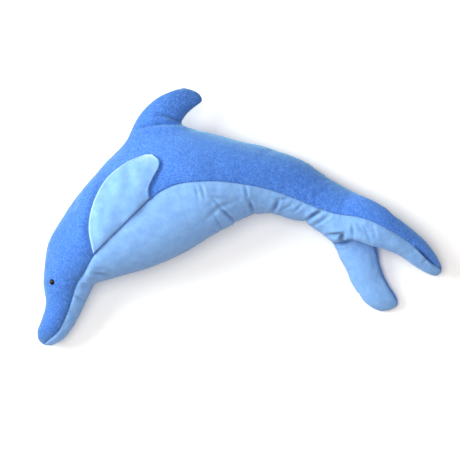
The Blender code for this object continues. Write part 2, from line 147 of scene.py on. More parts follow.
# The upper layer has a bead along its edge, a soft rise inside it, and folds down its length
BEAD_HEIGHT, BEAD_PLACE, BEAD_WIDTH = 1.3, 1.5, 1.2
FLIPPER_PUFF, PUFF_START, PUFF_REACH = 2.2, 2.5, 9
FLIPPER_FOLDS, FOLDS_WIDTH, FOLDS_LENGTH, FOLDS_START = 2.4, 15, 40, 8
# The flipper folded under the chest holds the body off the floor, this high and this far out
FLIPPER_BED = 3.86
FLIPPER_BED_MARGIN = 16
FLIPPER_BED_SLOPE = 26
# Painted light on the flipper's cotton: paler and darker bands for the light and shade of its folds,
# and a painted highlight towards its tip and along its turned edge
FLIPPER_LIGHT_BANDS, BANDS_MIDDLE, BANDS_WIDTH, BANDS_LENGTH = 0.24, 0.5, 11, 40
TIP_HIGHLIGHT, TIP_REACH = 0.85, 17
RIM_HIGHLIGHT, RIM_WIDTH = 0.9, 1.6
# How far cloth paled by painted highlight loses its colour's strength, and how far its hue turns
PALE_RATE, PALE_HUE = 0.55, 0.025
# How far the flipper's root goes down into the seam that holds it
SEWN_DROP, SEWN_REACH = 1.6, 5

# Columns round a body ring: the back line, the side seam on top, the belly line, the seam
# underneath, and round to the back line again
RING_COLUMNS = 12
SEAM_COLUMN = RING_COLUMNS // 4
BELLY_COLUMN = RING_COLUMNS // 2
BACK_SHARES = (0, 0.36, 0.70)
BELLY_SHARES = (0, 0.34, 0.68)
GATHER_REACH = {4: 0.35, 5: 0.8, 6: 1.0, 7: 0.8, 8: 0.35}
CHORD_COLUMNS = 3
FOLD_STEPS = SEAM_COLUMN + (CHORD_COLUMNS + 1) // 2
LEFT, RIGHT, LIGHT = 0, 1, 2
MERGE = 0.00001
TABLE_SNAP = 0.8

# How finely the cloth is worked: when the filling presses on it, and in the end
FILLING_LEVEL = 2
FINE_LEVELS = 2
THROUGH_ROUNDS = 3
# How the filling presses, how far it may move the cloth, and how far inside it starts
FILLING_FRAMES = 20
FILLING_PRESSURE = 40
FILLING_REACH = 3.0
FILLING_START = 0.3
# The cloth that it presses on: steps a frame, mass of a point, and how stiff it is
CLOTH_STEPS = 5
CLOTH_MASS = 0.02
STRETCH_STIFFNESS = 5
BENDING_STIFFNESS = 0.05
# How much slack the cloth has, and where along the body it has the most
CLOTH_SLACK = 0.004
BELLY_SLACK = 0.028
SLACK_FROM, SLACK_TO = -60, -20

# The cloth's thickness, ease at the seams and nap, the share of a thin place that it fills at
# most, and how thin it is and how near its rim where its hidden side stays fine
FLEECE_WALL = 1.2
COTTON_WALL = 0.9
SEAM_EASE = 0.07
NAP = 0.7
WALL_ROOM = 0.28
THIN_WALL = 0.7
RIM_RINGS = 3
# How deep the filling lies in the cloth, as a share of the room there at most
STUFFING_ROOM = 0.42
STUFFING_DEPTH = 4.6
STUFFING_FOLD = 0.35

# The groove along a seam, and how it fades where the cloth folds sharply there
SEAM_GROOVE, SEAM_WIDTH = 1.0, 1.6
FOLD_REACH = 6
FOLD_FADE = 0.5
EDGE_REACH = 3.5
# Short puckers and longer gathers beside a seam. Of a pair, the first is the cotton's value
# and the second the brushed cloth's
PUCKERS, PUCKER_SIZE, PUCKER_START, PUCKER_REACH = (0.5, 0.4), 4.5, 1.5, (9, 6)
GATHERS, GATHER_SIZE, GATHER_CREST = (0.95, 0.35), 13, 8
# Broad lumps and small ripples of the filling all over, and how they fade towards the floor
LUMPS, LUMP_SIZE = 0.7, 26
RIPPLES, RIPPLE_SIZE = (0.22, 0.16), 7
FLOOR_EASE = 3
# The knot where the fin's fold begins, and how far round it the cloth is smoothed
KNOT, KNOT_REACH, KNOT_ROUNDS = (-63.5, 141.8), 5, 8

# Painted shade: how much darker the cloth's colour is made deep in creases, along seams, beside the
# head's seam and on the fin, where shade falls
CREASE_SHADE = 0.16
SEAM_SHADE, SEAM_SHADE_WIDTH = 0.16, 0.8
DARKEST = 0.5
HEAD_SHADE, HEAD_SHADE_REACH, HEAD_END, HEAD_FADE = 0.38, 18, -100, 50
FIN_SHADE, FIN_FROM, FIN_EDGE, FIN_SPAN = 0.36, (-108, 102), 6, 50

# Creases in the cloth on the upper side: the line in plan, depth and half width
CREASES = (
    (((-23, 11), (-14, 3), (-4, -6)), 2.6, 1.9),
    (((-29, 4), (-24, -6), (-18, -13)), 1.0, 1.7),
    (((6, 35), (8, 19)), 1.3, 1.7),
    (((10, 18), (15, 5)), 2.8, 2.0),
    (((42, 19), (39, 12), (35, 6)), 3.0, 2.1),
    (((53, 21), (44, 20)), 1.3, 1.6),
    (((56, 14), (46, 9)), 1.2, 1.6),
    (((91, 8), (80, 2), (72, -4)), 3.6, 2.0),
    (((98, 2), (88, -5), (80, -9)), 1.7, 1.7),
    (((68, 14), (60, 7)), 1.1, 1.6),
    (((-39, -3), (-24, 11), (-2, 20)), 1.6, 2.2),
    (((-43, 37), (-39, 21)), 1.1, 1.8),
    (((-48, 33), (-46, 20)), 0.8, 1.6),
    (((-34, 23), (-9, 20)), 1.0, 1.7),
    (((-30, 21), (-20, 10)), 0.8, 1.6),
    (((97, -19), (104, -19), (114, -18)), 3.4, 1.9),
    (((106, -29), (114, -28), (123, -25)), 3.2, 1.9),
    (((123, -8), (125, -21)), 1.6, 1.7),
    (((130, -9), (137, -20)), 1.1, 1.6),
    (((136, -11), (144, -27)), 1.2, 1.6),
    (((146, -10), (149, -20)), 0.9, 1.6),
    (((194, -32), (206, -44), (218, -56)), 3.4, 1.6),
    (((205, -45), (202, -50)), 1.0, 1.4),
    (((-162, -61), (-143, -63)), 1.9, 2.0),
    (((-160, -57), (-147, -57)), 1.0, 1.8),
    (((-182, -86), (-172, -92)), 1.4, 2.0),
    (((-114, 98), (-98, 102), (-79, 103), (-58, 102)), 2.0, 2.3),
    (((-89, 114), (-78, 111), (-72, 108), (-62, 105)), 2.3, 2.3),
    (((-163, -40), (-168, -12), (-163, 18), (-149, 46)), 2.2, 5.0),
    (((-97, 22), (-98, 32), (-93, 43), (-87, 54), (-86, 63)), 1.5, 2.4),
    (((149, -36), (154, -60), (163, -76), (170, -89)), 1.3, 1.3),
)
# A crease shows on cloth that isn't turned down, fades at its ends, and has low banks
CREASE_TURN, CREASE_SPAN = 0.35, 0.5
CREASE_END, CREASE_FADE = 0.06, 0.6
BANK_HEIGHT, BANK_PLACE = 0.32, 2.1
# The pocket between the flukes: its place, depth and radius
TAIL_POCKET = ((112, -22), 6.5, 2.6)

# Eyes: a domed head on a shank that goes through the cloth
EYE_PLACE = (-206.5, -71)
EYE_RADIUS = 3.3
EYE_HEIGHT = 2.6
EYE_RISE = 0.3
EYE_RIM, EYE_TUCK = 0.4, 0.2
SHANK_RADIUS = 1.4
SHANK_LENGTH = 5.5
DOME_STEPS = 10
EYE_STEPS = 48
EYE_DIMPLE = (0.9, 4.5)
# A height well off the cloth, from which a place on it is looked up
FAR_OFF = 500

# The camera looks straight down, with this much of the floor in view at the cloth's height
VIEW_CENTRE = (-10.35, -15.03)
VIEW_WIDTH = 506
VIEW_HEIGHT = 40
CAMERA_HEIGHT = 12000
SENSOR = 36
# How pale the floor is for the light in the room, and how much paler it is seen
FLOOR_GREY, FLOOR_WHITER = 0.55, 0.75
FLOOR_TINT = (1, 0.965, 0.93)
# Half the floor's width and how far it lies below the cloth, in metres
FLOOR_HALF, FLOOR_DROP = 3, 0.0002

# The soft light of the room, and the lamps: place and width in metres, and power in watts
ROOM_LIGHT = 0.40
KEY_LAMP = ((-0.3, 0.1, 2.0), 1.3, 15)
SIDE_LAMP = ((-1.45, 0.5, 0.92), 1.2, 30)
SIDE_TINT = (0.85, 0.98, 1)
LAMP_AIM = (0, 0, 0.04)

# Colours from 0 to 255 at places along each finish's pattern, from its dark to its pale end
FLEECE_COLOURS = ((0.36, (62, 110, 204)), (0.5, (81, 134, 227)), (0.64, (106, 158, 243)))
COTTON_COLOURS = ((0.34, (128, 175, 240)), (0.5, (141, 188, 248)), (0.66, (155, 200, 253)))
FIBRE_COLOURS = ((0.35, (222, 222, 216)), (0.65, (246, 246, 243)))
EYE_COLOURS = ((0.3, (10, 7, 7)), (0.7, (24, 17, 15)))
WASHER_COLOURS = ((0.3, (218, 218, 214)), (0.7, (232, 232, 229)))
# The brushed cloth's fibres look paler at a flat angle
FLEECE_BLOOM = (180, 232, 255)
# With this size of wave the cotton's threads lie 0.75 mm apart
WEAVE_SIZE = 2.38


def ring_angles(seam, back_shares=BACK_SHARES):
    """Angles of the columns over the top, from the back line to the belly line."""
    turn = math.acos(1 - 2 * seam)
    over_back = [turn * share for share in back_shares]
    over_belly = [turn + (math.pi - turn) * share for share in BELLY_SHARES]
    return over_back + over_belly + [math.pi]


def along(rows, where):
    """The row of a table at a place between its rows, on a smooth curve through them."""
    rows = np.array(rows, dtype=float)
    first = min(int(where), len(rows) - 2)
    t = where - first
    before = rows[first - 1] if first > 0 else 2 * rows[0] - rows[1]
    after = rows[first + 2] if first + 2 < len(rows) else 2 * rows[-1] - rows[-2]
    a, b, c, d = before, rows[first], rows[first + 1], after
    return b + 0.5 * t * (c - a + t * (2 * a - 5 * b + 4 * c - d + t * (3 * (b - c) + d - a)))


def swell(columns):
    """How much a cage ring is enlarged so that its rounded ring has the true size."""
    return 8 / (6 + 2 * math.cos(2 * math.pi / columns))


def oval_point(left, right, top, low, angle, grow):
    """A point of an oval section at an angle, where 0 is the right end and 90 degrees the top."""
    left, right = Vector(left), Vector(right)
    spot = left.lerp(right, 0.5 * (1 + grow * math.cos(angle)))
    height = 0.5 * (top + low) + 0.5 * (top - low) * grow * math.sin(angle)
    return Vector((spot.x, spot.y, height))


def body_ring(where):
    """The body's section at a place along it, with a narrow strip at its back for the fin."""
    back_x, back_y, belly_x, belly_y, seam, top, low = along(BODY_SECTIONS, where)
    under_fin = max(0, 1 - max(FIN_FIRST - where, where - FIN_LAST, 0))
    low_share = BACK_SHARES[1] + (FIN_ROOT_SHARE - BACK_SHARES[1]) * under_fin
    over = ring_angles(seam, (0, low_share, BACK_SHARES[2]))
    angles = over + [2 * math.pi - angle for angle in reversed(over[1:-1])]
    back, belly = Vector((back_x, back_y)), Vector((belly_x, belly_y))
    points = [oval_point(belly, back, top, low, angle, swell(RING_COLUMNS)) for angle in angles]
    inward = (back - belly).normalized().to_3d()
    for column, reach in GATHER_REACH.items():
        points[column] += inward * BELLY_GATHERS.get(where, 0) * reach
    return points


def fluke_ring(row, angles, roll=0):
    """A fluke's section at these angles, rolled over by another."""
    right_x, right_y, left_x, left_y, top, low = row
    grow = swell(len(angles))
    return [oval_point((left_x, left_y), (right_x, right_y), top, low, angle - roll, grow)
            for angle in angles]


def fin_ring(row, count, middle):
    """A lens between the leading and the trailing edge: its upper side, then its lower."""
    leading, trailing = Vector(row[:2]), Vector(row[2:4])
    upper = []
    for step in range(count + 2):
        share = step / (count + 1)
        spot = leading.lerp(trailing, share)
        bulge = 0.5 * row[4] * math.sin(math.pi * share) ** FIN_ROUNDING
        upper.append(Vector((spot.x, spot.y, middle + bulge)))
    lower = [Vector((spot.x, spot.y, 2 * middle - spot.z)) for spot in reversed(upper[1:-1])]
    return upper + lower


def drawn_out(cage, ring, points, panels):
    """The ring's edges are extruded to the next points, with a panel number a column."""
    edges = [cage.edges.get(pair) for pair in zip(ring, ring[1:] + ring[:1])]
    made = bmesh.ops.extrude_edge_only(cage, edges=edges)["geom"]
    fresh = {item for item in made if isinstance(item, bmesh.types.BMVert)}
    following = []
    for vert in ring:
        across = [edge.other_vert(vert) for edge in vert.link_edges]
        following.append(next(other for other in across if other in fresh))
    for column, pair in enumerate(zip(following, following[1:] + following[:1])):
        cage.edges.get(pair).link_faces[0].material_index = panels[column]
    for vert, point in zip(following, points):
        vert.co = point
    return following


def fold_shut(cage, ring, tip, start, stop, panels):
    """The ring is drawn out to a line where its two sides meet, and they are sewn there.

    The line runs between two ends and bulges outwards, away from the ring before it.
    """
    count = len(ring)
    steps = (stop - start) % count
    first, last, bulge = Vector(tip[0]), Vector(tip[1]), tip[2]
    before = sum((vert.co for vert in ring), Vector()) / count
    outwards = ((first + last) / 2 - before).normalized() * bulge
    points = [None] * count
    for step in range(steps + 1):
        spot = first.lerp(last, step / steps) + outwards * math.sin(math.pi * step / steps)
        points[(start + step) % count] = spot
        points[(start - step) % count] = spot
    folded = drawn_out(cage, ring, points, panels)
    bmesh.ops.remove_doubles(cage, verts=folded, dist=MERGE)


def add_body(cage):
    """The body's rings from the snout to the flukes, with the snout folded shut."""
    panels = [LEFT] * SEAM_COLUMN + [LIGHT] * BELLY_COLUMN + [RIGHT] * SEAM_COLUMN
    ring = bmesh.ops.create_circle(cage, segments=RING_COLUMNS, radius=1)["verts"]
    for vert, point in zip(ring, body_ring(BODY_RINGS[0])):
        vert.co = point
    rings = {BODY_RINGS[0]: ring}
    for where in BODY_RINGS[1:]:
        ring = drawn_out(cage, ring, body_ring(where), panels)
        rings[where] = ring
    tip = along(BODY_SECTIONS, 0)
    middle = 0.5 * (tip[5] + tip[6])
    line = ((tip[0], tip[1], middle), (tip[2], tip[3], middle), SNOUT_BULGE)
    fold_shut(cage, rings[BODY_RINGS[0]], line, 0, BELLY_COLUMN, panels)
    return rings


def add_fin(cage, rings):
    """The strip on both sides of the back line is opened and drawn out into the fin."""
    places = [where for where in BODY_RINGS if FIN_FIRST <= where <= FIN_LAST]
    first, last = rings[places[0]], rings[places[-1]]
    upper = [rings[where][1] for where in places]
    lower = [rings[where][-1] for where in places]
    inner = [rings[where][0] for where in places]
    strip = set(upper + lower + inner)
    opened = [face for face in cage.faces if all(vert in strip for vert in face.verts)]
    height = first[0].co.z
    bmesh.ops.delete(cage, geom=opened, context="FACES")
    base = [first[0]] + upper + [last[0]] + lower[::-1]
    half = len(upper)
    panels = [LEFT] * (half + 1) + [RIGHT] * (half + 1)
    ring = base
    for level, row in enumerate(FIN_LEVELS):
        drop = FIN_DROOP * (level + 1) / len(FIN_LEVELS)
        ring = drawn_out(cage, ring, fin_ring(row, half, height - drop), panels)
    ends = [(*point, height - FIN_DROOP) for point in FIN_TIP[:2]]
    fold_shut(cage, ring, (*ends, FIN_TIP[2]), 0, half + 1, panels)


def add_flukes(cage, last):
    """The last ring parts along a chord from the back line to the belly line."""
    back, belly = last[0], last[BELLY_COLUMN]
    shares = [(step + 1) / (CHORD_COLUMNS + 1) for step in range(CHORD_COLUMNS)]
    chord = [cage.verts.new(back.co.lerp(belly.co, share)) for share in shares]
    for pair in zip([back] + chord, chord + [belly]):
        cage.edges.new(pair)
    quarter = math.pi / (CHORD_COLUMNS + 1)
    ring = last[:BELLY_COLUMN + 1] + chord[::-1]
    rest = CHORD_COLUMNS - 1
    panels = [LEFT] * SEAM_COLUMN + [LIGHT] * FOLD_STEPS + [LEFT] * rest
    for row in NEAR_FLUKE:
        under = [math.pi + quarter * (step + 1) for step in range(CHORD_COLUMNS)]
        points = fluke_ring(row[:4] + row[5:], ring_angles(row[4]) + under)
        ring = drawn_out(cage, ring, points, panels)
    fold_shut(cage, ring, NEAR_TIP, SEAM_COLUMN, SEAM_COLUMN + FOLD_STEPS, panels)
    ring = last[BELLY_COLUMN:] + [back] + chord
    panels = [LIGHT] * SEAM_COLUMN + [RIGHT] * FOLD_STEPS + [LIGHT] * rest
    under = [math.pi * (1 + step / BELLY_COLUMN) for step in range(BELLY_COLUMN + 1)]
    over = [quarter * (step + 1) for step in range(CHORD_COLUMNS)]
    for row in FAR_FLUKE:
        points = fluke_ring(row[2:4] + row[:2] + row[4:6], under + over, math.radians(row[6]))
        ring = drawn_out(cage, ring, points, panels)
    fold_shut(cage, ring, FAR_TIP, SEAM_COLUMN, SEAM_COLUMN + FOLD_STEPS, panels)


def flipper_bed(x, y):
    """How high the flipper under the chest holds the body off the floor at a place."""
    rows = np.array(FLIPPER_ROWS[:-1], dtype=float)
    middle = 0.5 * (rows[:, :2] + rows[:, 2:])
    widths = 0.5 * np.hypot(*(rows[:, :2] - rows[:, 2:]).T)
    spots = np.stack([x, y], axis=-1)[..., None, :]
    away = np.min(np.linalg.norm(middle - spots, axis=-1) - widths, axis=-1) - FLIPPER_BED_MARGIN
    fade = np.clip(1 - away / FLIPPER_BED_SLOPE, 0, 1)
    return FLIPPER_BED * fade * fade * (3 - 2 * fade)


def positions(mesh):
    """The mesh's points, a row for each."""
    flat = np.empty(3 * len(mesh.vertices))
    mesh.vertices.foreach_get("co", flat)
    return flat.reshape(-1, 3)


def set_positions(mesh, spots):
    mesh.vertices.foreach_set("co", spots.ravel())
    mesh.update()


def normals(mesh):
    flat = np.empty(3 * len(mesh.vertices))
    mesh.vertex_normals.foreach_get("vector", flat)
    return flat.reshape(-1, 3)


def linked(name, mesh):
    made = bpy.data.objects.new(name, mesh)
    bpy.context.scene.collection.objects.link(made)
    return made


def rounded(mesh, levels):
    """The mesh as its smooth surface, this many times finer."""
    guide = linked("rounded guide", mesh)
    rounding = guide.modifiers.new("rounding", "SUBSURF")
    rounding.levels = rounding.render_levels = levels
    seen = guide.evaluated_get(bpy.context.evaluated_depsgraph_get())
    smooth = bpy.data.meshes.new_from_object(seen)
    bpy.data.objects.remove(guide, do_unlink=True)
    return smooth


def finer(mesh, levels):
    """A finer mesh whose smooth surface still runs through the points of the coarser one."""
    goal = positions(mesh)
    for _ in range(THROUGH_ROUNDS):
        reached = positions(rounded(mesh.copy(), 1))[:len(goal)]
        set_positions(mesh, positions(mesh) + goal - reached)
    return rounded(mesh, levels)


def body_cage():
    """The coarse form of body, fin and flukes, with a panel number on every face."""
    cage = bmesh.new()
    rings = add_body(cage)
    add_fin(cage, rings)
    add_flukes(cage, rings[BODY_RINGS[-1]])
    bmesh.ops.recalc_face_normals(cage, faces=cage.faces)
    mesh = bpy.data.meshes.new("body cage")
    for _ in (LEFT, RIGHT, LIGHT):
        mesh.materials.append(None)
    cage.to_mesh(mesh)
    cage.free()
    return mesh


def press_on_floor(spots):
    """Cloth that would reach below the floor, or the flipper under it, lies flat there."""
    bed = flipper_bed(spots[:, 0], spots[:, 1])
    low = spots[:, 2] < bed + TABLE_SNAP
    spots[low, 2] = bed[low]
    return low


def seam_points(mesh):
    """The points where two cuts of cloth meet."""
    panels = {}
    for face in mesh.polygons:
        for index in face.vertices:
            panels.setdefault(index, set()).add(face.material_index)
    return [index for index, found in panels.items() if len(found) > 1]


def light_points(mesh):
    """Whether each point lies on the smooth cotton."""
    light = np.zeros(len(mesh.vertices), dtype=bool)
    for face in mesh.polygons:
        if face.material_index == LIGHT:
            light[list(face.vertices)] = True
    return light


def filled(mesh):
    """The filling presses the slack cloth out between its seams, and the floor holds it."""
    spots = positions(mesh)
    lying = press_on_floor(spots)
    set_positions(mesh, spots)
    seams = seam_points(mesh)
    start = spots - FILLING_START * normals(mesh)
    set_positions(mesh, start * MM)
    cover = linked("filled cover", mesh)
    held = cover.vertex_groups.new(name="held")
    held.add(sorted(set(seams) | set(np.flatnonzero(lying).tolist())), 1.0, "REPLACE")
    slack = cover.vertex_groups.new(name="slack")
    share = np.clip((spots[:, 0] - SLACK_FROM) / (SLACK_TO - SLACK_FROM), 0, 1)
    for index in np.flatnonzero(light_points(mesh)):
        slack.add([int(index)], float(share[index]), "REPLACE")
    cloth = cover.modifiers.new("filling", "CLOTH")
    cloth.settings.quality = CLOTH_STEPS
    cloth.settings.mass = CLOTH_MASS
    cloth.settings.tension_stiffness = STRETCH_STIFFNESS
    cloth.settings.compression_stiffness = STRETCH_STIFFNESS
    cloth.settings.shear_stiffness = STRETCH_STIFFNESS
    cloth.settings.bending_stiffness = BENDING_STIFFNESS
    cloth.settings.use_pressure = True
    cloth.settings.uniform_pressure_force = FILLING_PRESSURE
    cloth.settings.shrink_min = -CLOTH_SLACK
    cloth.settings.shrink_max = -BELLY_SLACK
    cloth.settings.vertex_group_shrink = "slack"
    cloth.settings.vertex_group_mass = "held"
    cloth.settings.effector_weights.gravity = 0
    cloth.collision_settings.use_collision = False
    for number in range(1, FILLING_FRAMES + 1):
        bpy.context.scene.frame_set(number)
    seen = cover.evaluated_get(bpy.context.evaluated_depsgraph_get())
    moved = positions(seen.data) / MM - spots
    bpy.context.scene.frame_set(1)
    bpy.data.objects.remove(cover, do_unlink=True)
    far = np.linalg.norm(moved, axis=1, keepdims=True)
    spots = spots + moved * np.minimum(1, FILLING_REACH / np.maximum(far, MERGE))
    press_on_floor(spots)
    set_positions(mesh, spots)
    return mesh


def line_distance(spots, line):
    """Distance in plan from each point to a line of points, and how far along it that is."""
    best = np.full(len(spots), np.inf)
    share = np.zeros(len(spots))
    points = [np.array(point, dtype=float) for point in line]
    runs = [np.linalg.norm(b - a) for a, b in zip(points, points[1:])]
    passed = 0
    for a, b, run in zip(points, points[1:], runs):
        t = np.clip((spots[:, :2] - a) @ (b - a) / run ** 2, 0, 1)
        away = np.linalg.norm(spots[:, :2] - a - t[:, None] * (b - a), axis=1)
        nearer = away < best
        best[nearer] = away[nearer]
        share[nearer] = (passed + t[nearer] * run) / sum(runs)
        passed += run
    return best, share


def crease_rise(spots, facing):
    """A valley along each crease, with the cloth pushed up softly beside it, and its depth."""
    rise = np.zeros(len(spots))
    hollow = np.zeros(len(spots))
    upper = np.clip((facing[:, 2] + CREASE_TURN) / CREASE_SPAN, 0, 1)
    for line, depth, width in CREASES:
        away, share = line_distance(spots, line)
        fade = np.sin(np.pi * np.clip(share, CREASE_END, 1 - CREASE_END)) ** CREASE_FADE
        valley = np.exp(-(away / width) ** 2)
        banks = np.exp(-((away - BANK_PLACE * width) / width) ** 2)
        rise += depth * fade * upper * (BANK_HEIGHT * banks - valley)
        hollow = np.maximum(hollow, depth * fade * upper * valley ** 2)
    centre, depth, radius = TAIL_POCKET
    away = np.linalg.norm(spots[:, :2] - np.array(centre), axis=1)
    pit = depth * upper * np.exp(-(away / radius) ** 2)
    return rise - pit, np.maximum(hollow, pit)


def soft_noise(spots, size, seed):
    """Smooth random heights from -1 to 1, with swells of about this size."""
    away = Vector((seed, 2 * seed, 3 * seed))
    return np.array([noise.noise(Vector(spot) / size + away) for spot in spots])


def point_tree(spots):
    """The points, ready for a quick search of the nearest one."""
    tree = KDTree(len(spots))
    for index, spot in enumerate(spots):
        tree.insert(spot, index)
    tree.balance()
    return tree


def surface_tree(mesh, spots):
    """The mesh's faces with their points at these places, ready for a search along a line."""
    return BVHTree.FromPolygons([Vector(spot) for spot in spots],
                                [face.vertices for face in mesh.polygons])


def sharpness(spots, facing, chosen):
    """How far each chosen point stands out of the cloth round it, in millimetres."""
    tree = point_tree(spots)
    out = []
    for index in chosen:
        around = [item[1] for item in tree.find_range(spots[index], FOLD_REACH)]
        out.append((spots[index] - spots[around].mean(axis=0)) @ facing[index])
    return np.array(out)


def seam_rise(spots, facing, seams, light):
    """A groove along every seam, with puckers that run off square to it.

    Where two cuts meet in a sharp fold, as round the fin, the seam is the edge itself. Also
    returned: how far each point is from a seam, and how little it lies on such an edge.
    """
    on_seam = spots[seams]
    tree = point_tree(on_seam)
    found = [tree.find(spot) for spot in spots]
    nearest = np.array([item[1] for item in found])
    away = np.array([item[2] for item in found])
    short = soft_noise(on_seam, PUCKER_SIZE, seed=3.7)[nearest]
    long = soft_noise(on_seam, GATHER_SIZE, seed=8.3)[nearest]
    flat = np.exp(-np.maximum(sharpness(spots, facing, seams), 0) / FOLD_FADE)[nearest]
    groove = -SEAM_GROOVE * flat * np.exp(-(away / SEAM_WIDTH) ** 2)
    reach = np.where(light, *PUCKER_REACH)
    begun = 1 - np.exp(-away / PUCKER_START)
    puckers = np.where(light, *PUCKERS) * short * np.exp(-away / reach) * begun
    crest = away / GATHER_CREST
    gathers = np.where(light, *GATHERS) * long * crest * np.exp(1 - crest)
    inland = 1 - (1 - flat) * np.exp(-(away / EDGE_REACH) ** 2)
    return groove + flat * (puckers + gathers), away, inland


def eye_spot(tree, side):
    """Where an eye sits on the cloth, and which way it faces."""
    start = Vector((*EYE_PLACE, FAR_OFF * side))
    spot, normal, _, _ = tree.ray_cast(start, Vector((0, 0, -side)))
    return spot, normal


def eye_rise(spots, tree):
    """The dimple that each eye pulls into the cloth."""
    depth, reach = EYE_DIMPLE
    rise = np.zeros(len(spots))
    for side in (1, -1):
        spot, _ = eye_spot(tree, side)
        away = np.linalg.norm(spots - np.array(spot), axis=1)
        rise -= depth * np.exp(-(away / reach) ** 2)
    return rise


def smooth_knot(mesh):
    """The little knot where the fin's fold begins is smoothed away."""
    soft = bmesh.new()
    soft.from_mesh(mesh)
    near = [vert for vert in soft.verts if (vert.co.xy - Vector(KNOT)).length < KNOT_REACH]
    for _ in range(KNOT_ROUNDS):
        bmesh.ops.smooth_vert(soft, verts=near, factor=0.5, use_axis_x=True, use_axis_y=True,
                              use_axis_z=True)
    soft.to_mesh(mesh)
    soft.free()


def worked(mesh):
    """Seams, creases and the filling's unevenness in the fine cloth, and the shade painted into its
    colour.
    """
    spots = positions(mesh)
    press_on_floor(spots)
    set_positions(mesh, spots)
    facing = normals(mesh)
    light = light_points(mesh)
    seams = seam_points(mesh)
    rise, away, inland = seam_rise(spots, facing, seams, light)
    creased, hollow = crease_rise(spots, facing)
    rise += creased * inland
    rise += NAP + LUMPS * soft_noise(spots, LUMP_SIZE, seed=1.3)
    rise += np.where(light, *RIPPLES) * soft_noise(spots, RIPPLE_SIZE, seed=5.1)
    rise += eye_rise(spots, surface_tree(mesh, spots))
    on_floor = spots[:, 2] - flipper_bed(spots[:, 0], spots[:, 1])
    rise *= np.clip(on_floor / FLOOR_EASE, 0, 1)
    spots = spots + facing * rise[:, None]
    press_on_floor(spots)
    set_positions(mesh, spots)
    smooth_knot(mesh)
    # Painted shade where shade falls: deep in creases and the tail pocket, along the seams' grooves,
    # beside the head's seam and over the fin
    head = np.clip((HEAD_END - spots[:, 0]) / HEAD_FADE, 0, 1) * np.exp(-away / HEAD_SHADE_REACH)
    seam = SEAM_SHADE * np.exp(-(away / SEAM_SHADE_WIDTH) ** 2)
    painted_shading = np.minimum(CREASE_SHADE * hollow + seam, DARKEST) + np.where(light, 0, HEAD_SHADE) * head
    fin = np.clip((spots[:, 1] - FIN_FROM[1]) / FIN_EDGE, 0, 1)
    fin *= np.clip((spots[:, 0] - FIN_FROM[0]) / FIN_SPAN, 0, 1)
    return mesh, painted_shading + FIN_SHADE * fin


def room_inside(mesh, spots, facing):
    """How thick the form is below each point, in millimetres, and its faces for a search."""
    tree = surface_tree(mesh, spots)
    rooms = []
    for spot, normal in zip(spots, facing):
        start = Vector(spot) - Vector(normal) * SEAM_EASE
        rooms.append(tree.ray_cast(start, -Vector(normal))[3] or VIEW_WIDTH)
    return tree, np.array(rooms)


def finished(name, bm, shift, material, node):
    """A piece, brought to the solids' metres and place, with its finish and its solid."""
    bmesh.ops.transform(bm, matrix=Matrix.Scale(MM, 4), verts=bm.verts)
    bmesh.ops.translate(bm, vec=shift, verts=bm.verts)
    mesh = bpy.data.meshes.new(name)
    bm.to_mesh(mesh)
    bm.free()
    mesh.materials.clear()
    mesh.materials.append(material)
    mesh.shade_smooth()
    piece = linked(name, mesh)
    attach(piece, BODY)
    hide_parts(node)
    return piece


def cloth_cut(name, form, walls, painted_shadings, panel, material, shift):
    """One cut of cloth: its faces of the form, eased back at the seams, and a wall inwards."""
    sheet = bmesh.new()
    sheet.from_mesh(form)
    wall = sheet.verts.layers.float_vector.new("wall")
    # Painted shading on each point: above 0 darkens the colour as painted shade, below 0 pales it as
    # painted highlight
    painted_shading = sheet.verts.layers.float.new("painted_shading")
    for vert, inwards, dark in zip(sheet.verts, walls, painted_shadings):
        vert[wall] = inwards
        vert[painted_shading] = dark
    others = [face for face in sheet.faces if face.material_index != panel]
    bmesh.ops.delete(sheet, geom=others, context="FACES")
    eased = []
    for vert in sheet.verts:
        if vert.is_boundary:
            across = [edge.other_vert(vert).co for edge in vert.link_edges if not edge.is_boundary]
            across = across or [edge.other_vert(vert).co for edge in vert.link_edges]
            inwards = sum(across, Vector()) / len(across) - vert.co
            eased.append((vert, inwards.normalized() * SEAM_EASE))
    for vert, move in eased:
        vert.co += move
    skin = bmesh.ops.extrude_face_region(sheet, geom=sheet.faces[:], use_keep_orig=True)["geom"]
    inside = [item for item in skin if isinstance(item, bmesh.types.BMVert)]
    for vert in inside:
        vert.co += vert[wall]
    hidden = {vert for vert in inside if vert[wall].length > THIN_WALL}
    for _ in range(RIM_RINGS):
        hidden = {vert for vert in hidden
                  if all(edge.other_vert(vert) in hidden for edge in vert.link_edges)}
    bmesh.ops.unsubdivide(sheet, verts=list(hidden), iterations=2)
    loose = [edge for edge in sheet.edges if not edge.link_faces]
    bmesh.ops.delete(sheet, geom=loose, context="EDGES")
    bmesh.ops.recalc_face_normals(sheet, faces=sheet.faces)
    if sheet.calc_volume(signed=True) < 0:
        bmesh.ops.reverse_faces(sheet, faces=sheet.faces)
    for face in sheet.faces:
        face.material_index = 0
    return finished(name, sheet, shift, material, name.replace("_cloth", ""))


def stuffing(form, coarse, material, shift):
    """The filling, a little inside the cloth all round, on the points of the coarser form."""
    _, rooms = room_inside(coarse, positions(coarse), normals(coarse))
    bm = bmesh.new()
    bm.from_mesh(coarse)
    spots, facing = positions(form), normals(coarse)
    inner = []
    for vert, spot, normal, room in zip(bm.verts, spots, facing, rooms):
        spread = min(vert.normal.dot(face.normal) for face in vert.link_faces)
        depth = min(STUFFING_DEPTH / max(spread, STUFFING_FOLD), STUFFING_ROOM * room)
        inner.append(spot - normal * depth)
    for vert, spot in zip(bm.verts, inner):
        vert.co = spot
    for face in bm.faces:
        face.material_index = 0
    return finished("stuffing_fibre", bm, shift, material, "stuffing")


def flipper_spot(reach, across):
    """A place on the flipper, as shares of the way to its tip and to its trailing edge."""
    row = along(FLIPPER_ROWS, reach * (len(FLIPPER_ROWS) - 1))
    return Vector(row[:2]).lerp(Vector(row[2:]), across)


